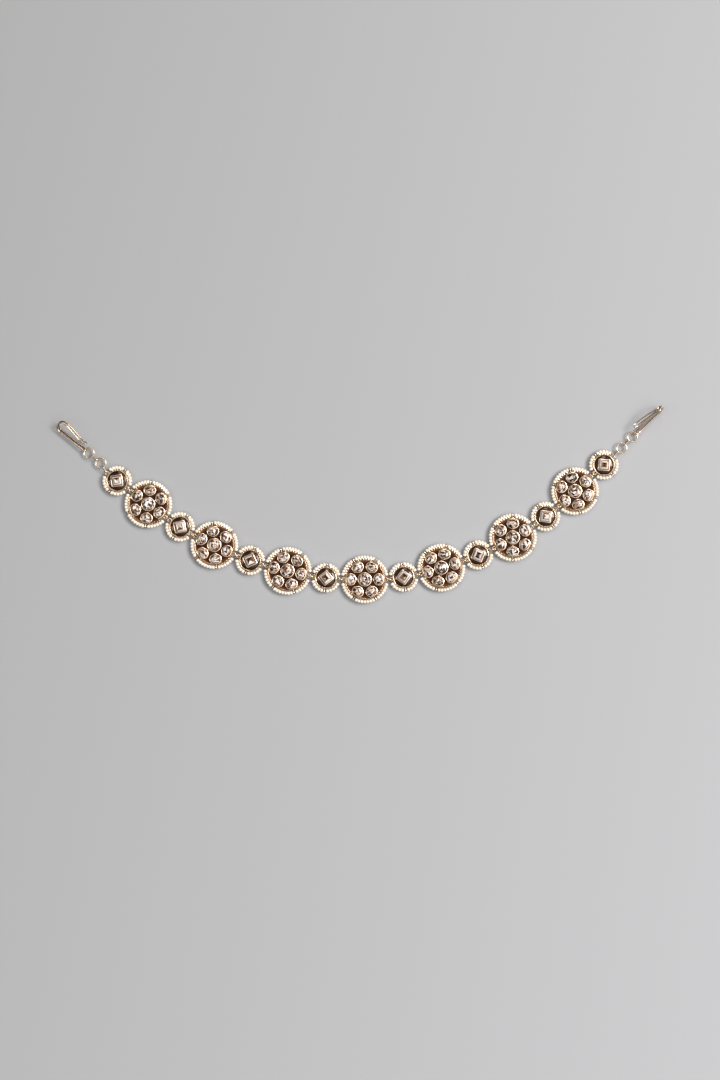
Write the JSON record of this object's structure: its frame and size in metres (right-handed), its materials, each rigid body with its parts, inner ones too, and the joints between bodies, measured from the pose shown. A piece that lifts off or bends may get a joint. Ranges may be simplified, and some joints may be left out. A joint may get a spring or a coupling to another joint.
{
  "type": "matha patti",
  "caption": "Jewelled forehead chain of rosettes and studs ringed with seed pearls, joined by upright rings, with a long hair hook on rings at each end, lying flat in its curve.",
  "frame": {"origin": "centre of the middle rosette's flat back face, on the surface the piece lies on", "axes": "+X along the chain to the wearer's left end as seen from the front, +Y up the curve towards the hooks, +Z out of the stones, away from the forehead"},
  "size_m": [0.3333, 0.1087, 0.0087],
  "materials": {
    "rose_gold": "polished pale rose gold plate on brass",
    "cut_glass": "cut glass over foil",
    "seed_pearl": "cream seed pearl, satin lustre",
    "dark_ground": "dark brown fired ground",
    "maroon_enamel": "glossy near-black maroon enamel"
  },
  "bodies": {
    "root": {"rosette_1_setting": "rose_gold", "rosette_2_setting": "rose_gold", "rosette_3_setting": "rose_gold", "rosette_4_setting": "rose_gold", "rosette_5_setting": "rose_gold", "rosette_6_setting": "rose_gold", "rosette_7_setting": "rose_gold", "rosette_1_stones": "cut_glass", "rosette_2_stones": "cut_glass", "rosette_3_stones": "cut_glass", "rosette_4_stones": "cut_glass", "rosette_5_stones": "cut_glass", "rosette_6_stones": "cut_glass", "rosette_7_stones": "cut_glass", "rosette_1_pearls": "seed_pearl", "rosette_2_pearls": "seed_pearl", "rosette_3_pearls": "seed_pearl", "rosette_4_pearls": "seed_pearl", "rosette_5_pearls": "seed_pearl", "rosette_6_pearls": "seed_pearl", "rosette_7_pearls": "seed_pearl", "stud_1_setting": "rose_gold", "stud_2_setting": "rose_gold", "stud_3_setting": "rose_gold", "stud_4_setting": "rose_gold", "stud_5_setting": "rose_gold", "stud_6_setting": "rose_gold", "stud_7_setting": "rose_gold", "stud_8_setting": "rose_gold", "stud_1_stone": "cut_glass", "stud_2_stone": "cut_glass", "stud_3_stone": "cut_glass", "stud_4_stone": "cut_glass", "stud_5_stone": "cut_glass", "stud_6_stone": "cut_glass", "stud_7_stone": "cut_glass", "stud_8_stone": "cut_glass", "stud_1_pearls": "seed_pearl", "stud_2_pearls": "seed_pearl", "stud_3_pearls": "seed_pearl", "stud_4_pearls": "seed_pearl", "stud_5_pearls": "seed_pearl", "stud_6_pearls": "seed_pearl", "stud_7_pearls": "seed_pearl", "stud_8_pearls": "seed_pearl", "rosette_grounds": "dark_ground", "stud_enamels": "maroon_enamel", "station_links": "rose_gold", "left_inner_link": "rose_gold", "left_inner_ring": "rose_gold", "left_outer_link": "rose_gold", "left_outer_ring": "rose_gold", "left_hook": "rose_gold", "right_inner_link": "rose_gold", "right_inner_ring": "rose_gold", "right_outer_link": "rose_gold", "right_outer_ring": "rose_gold", "right_hook": "rose_gold"}
  },
  "joints": []
}
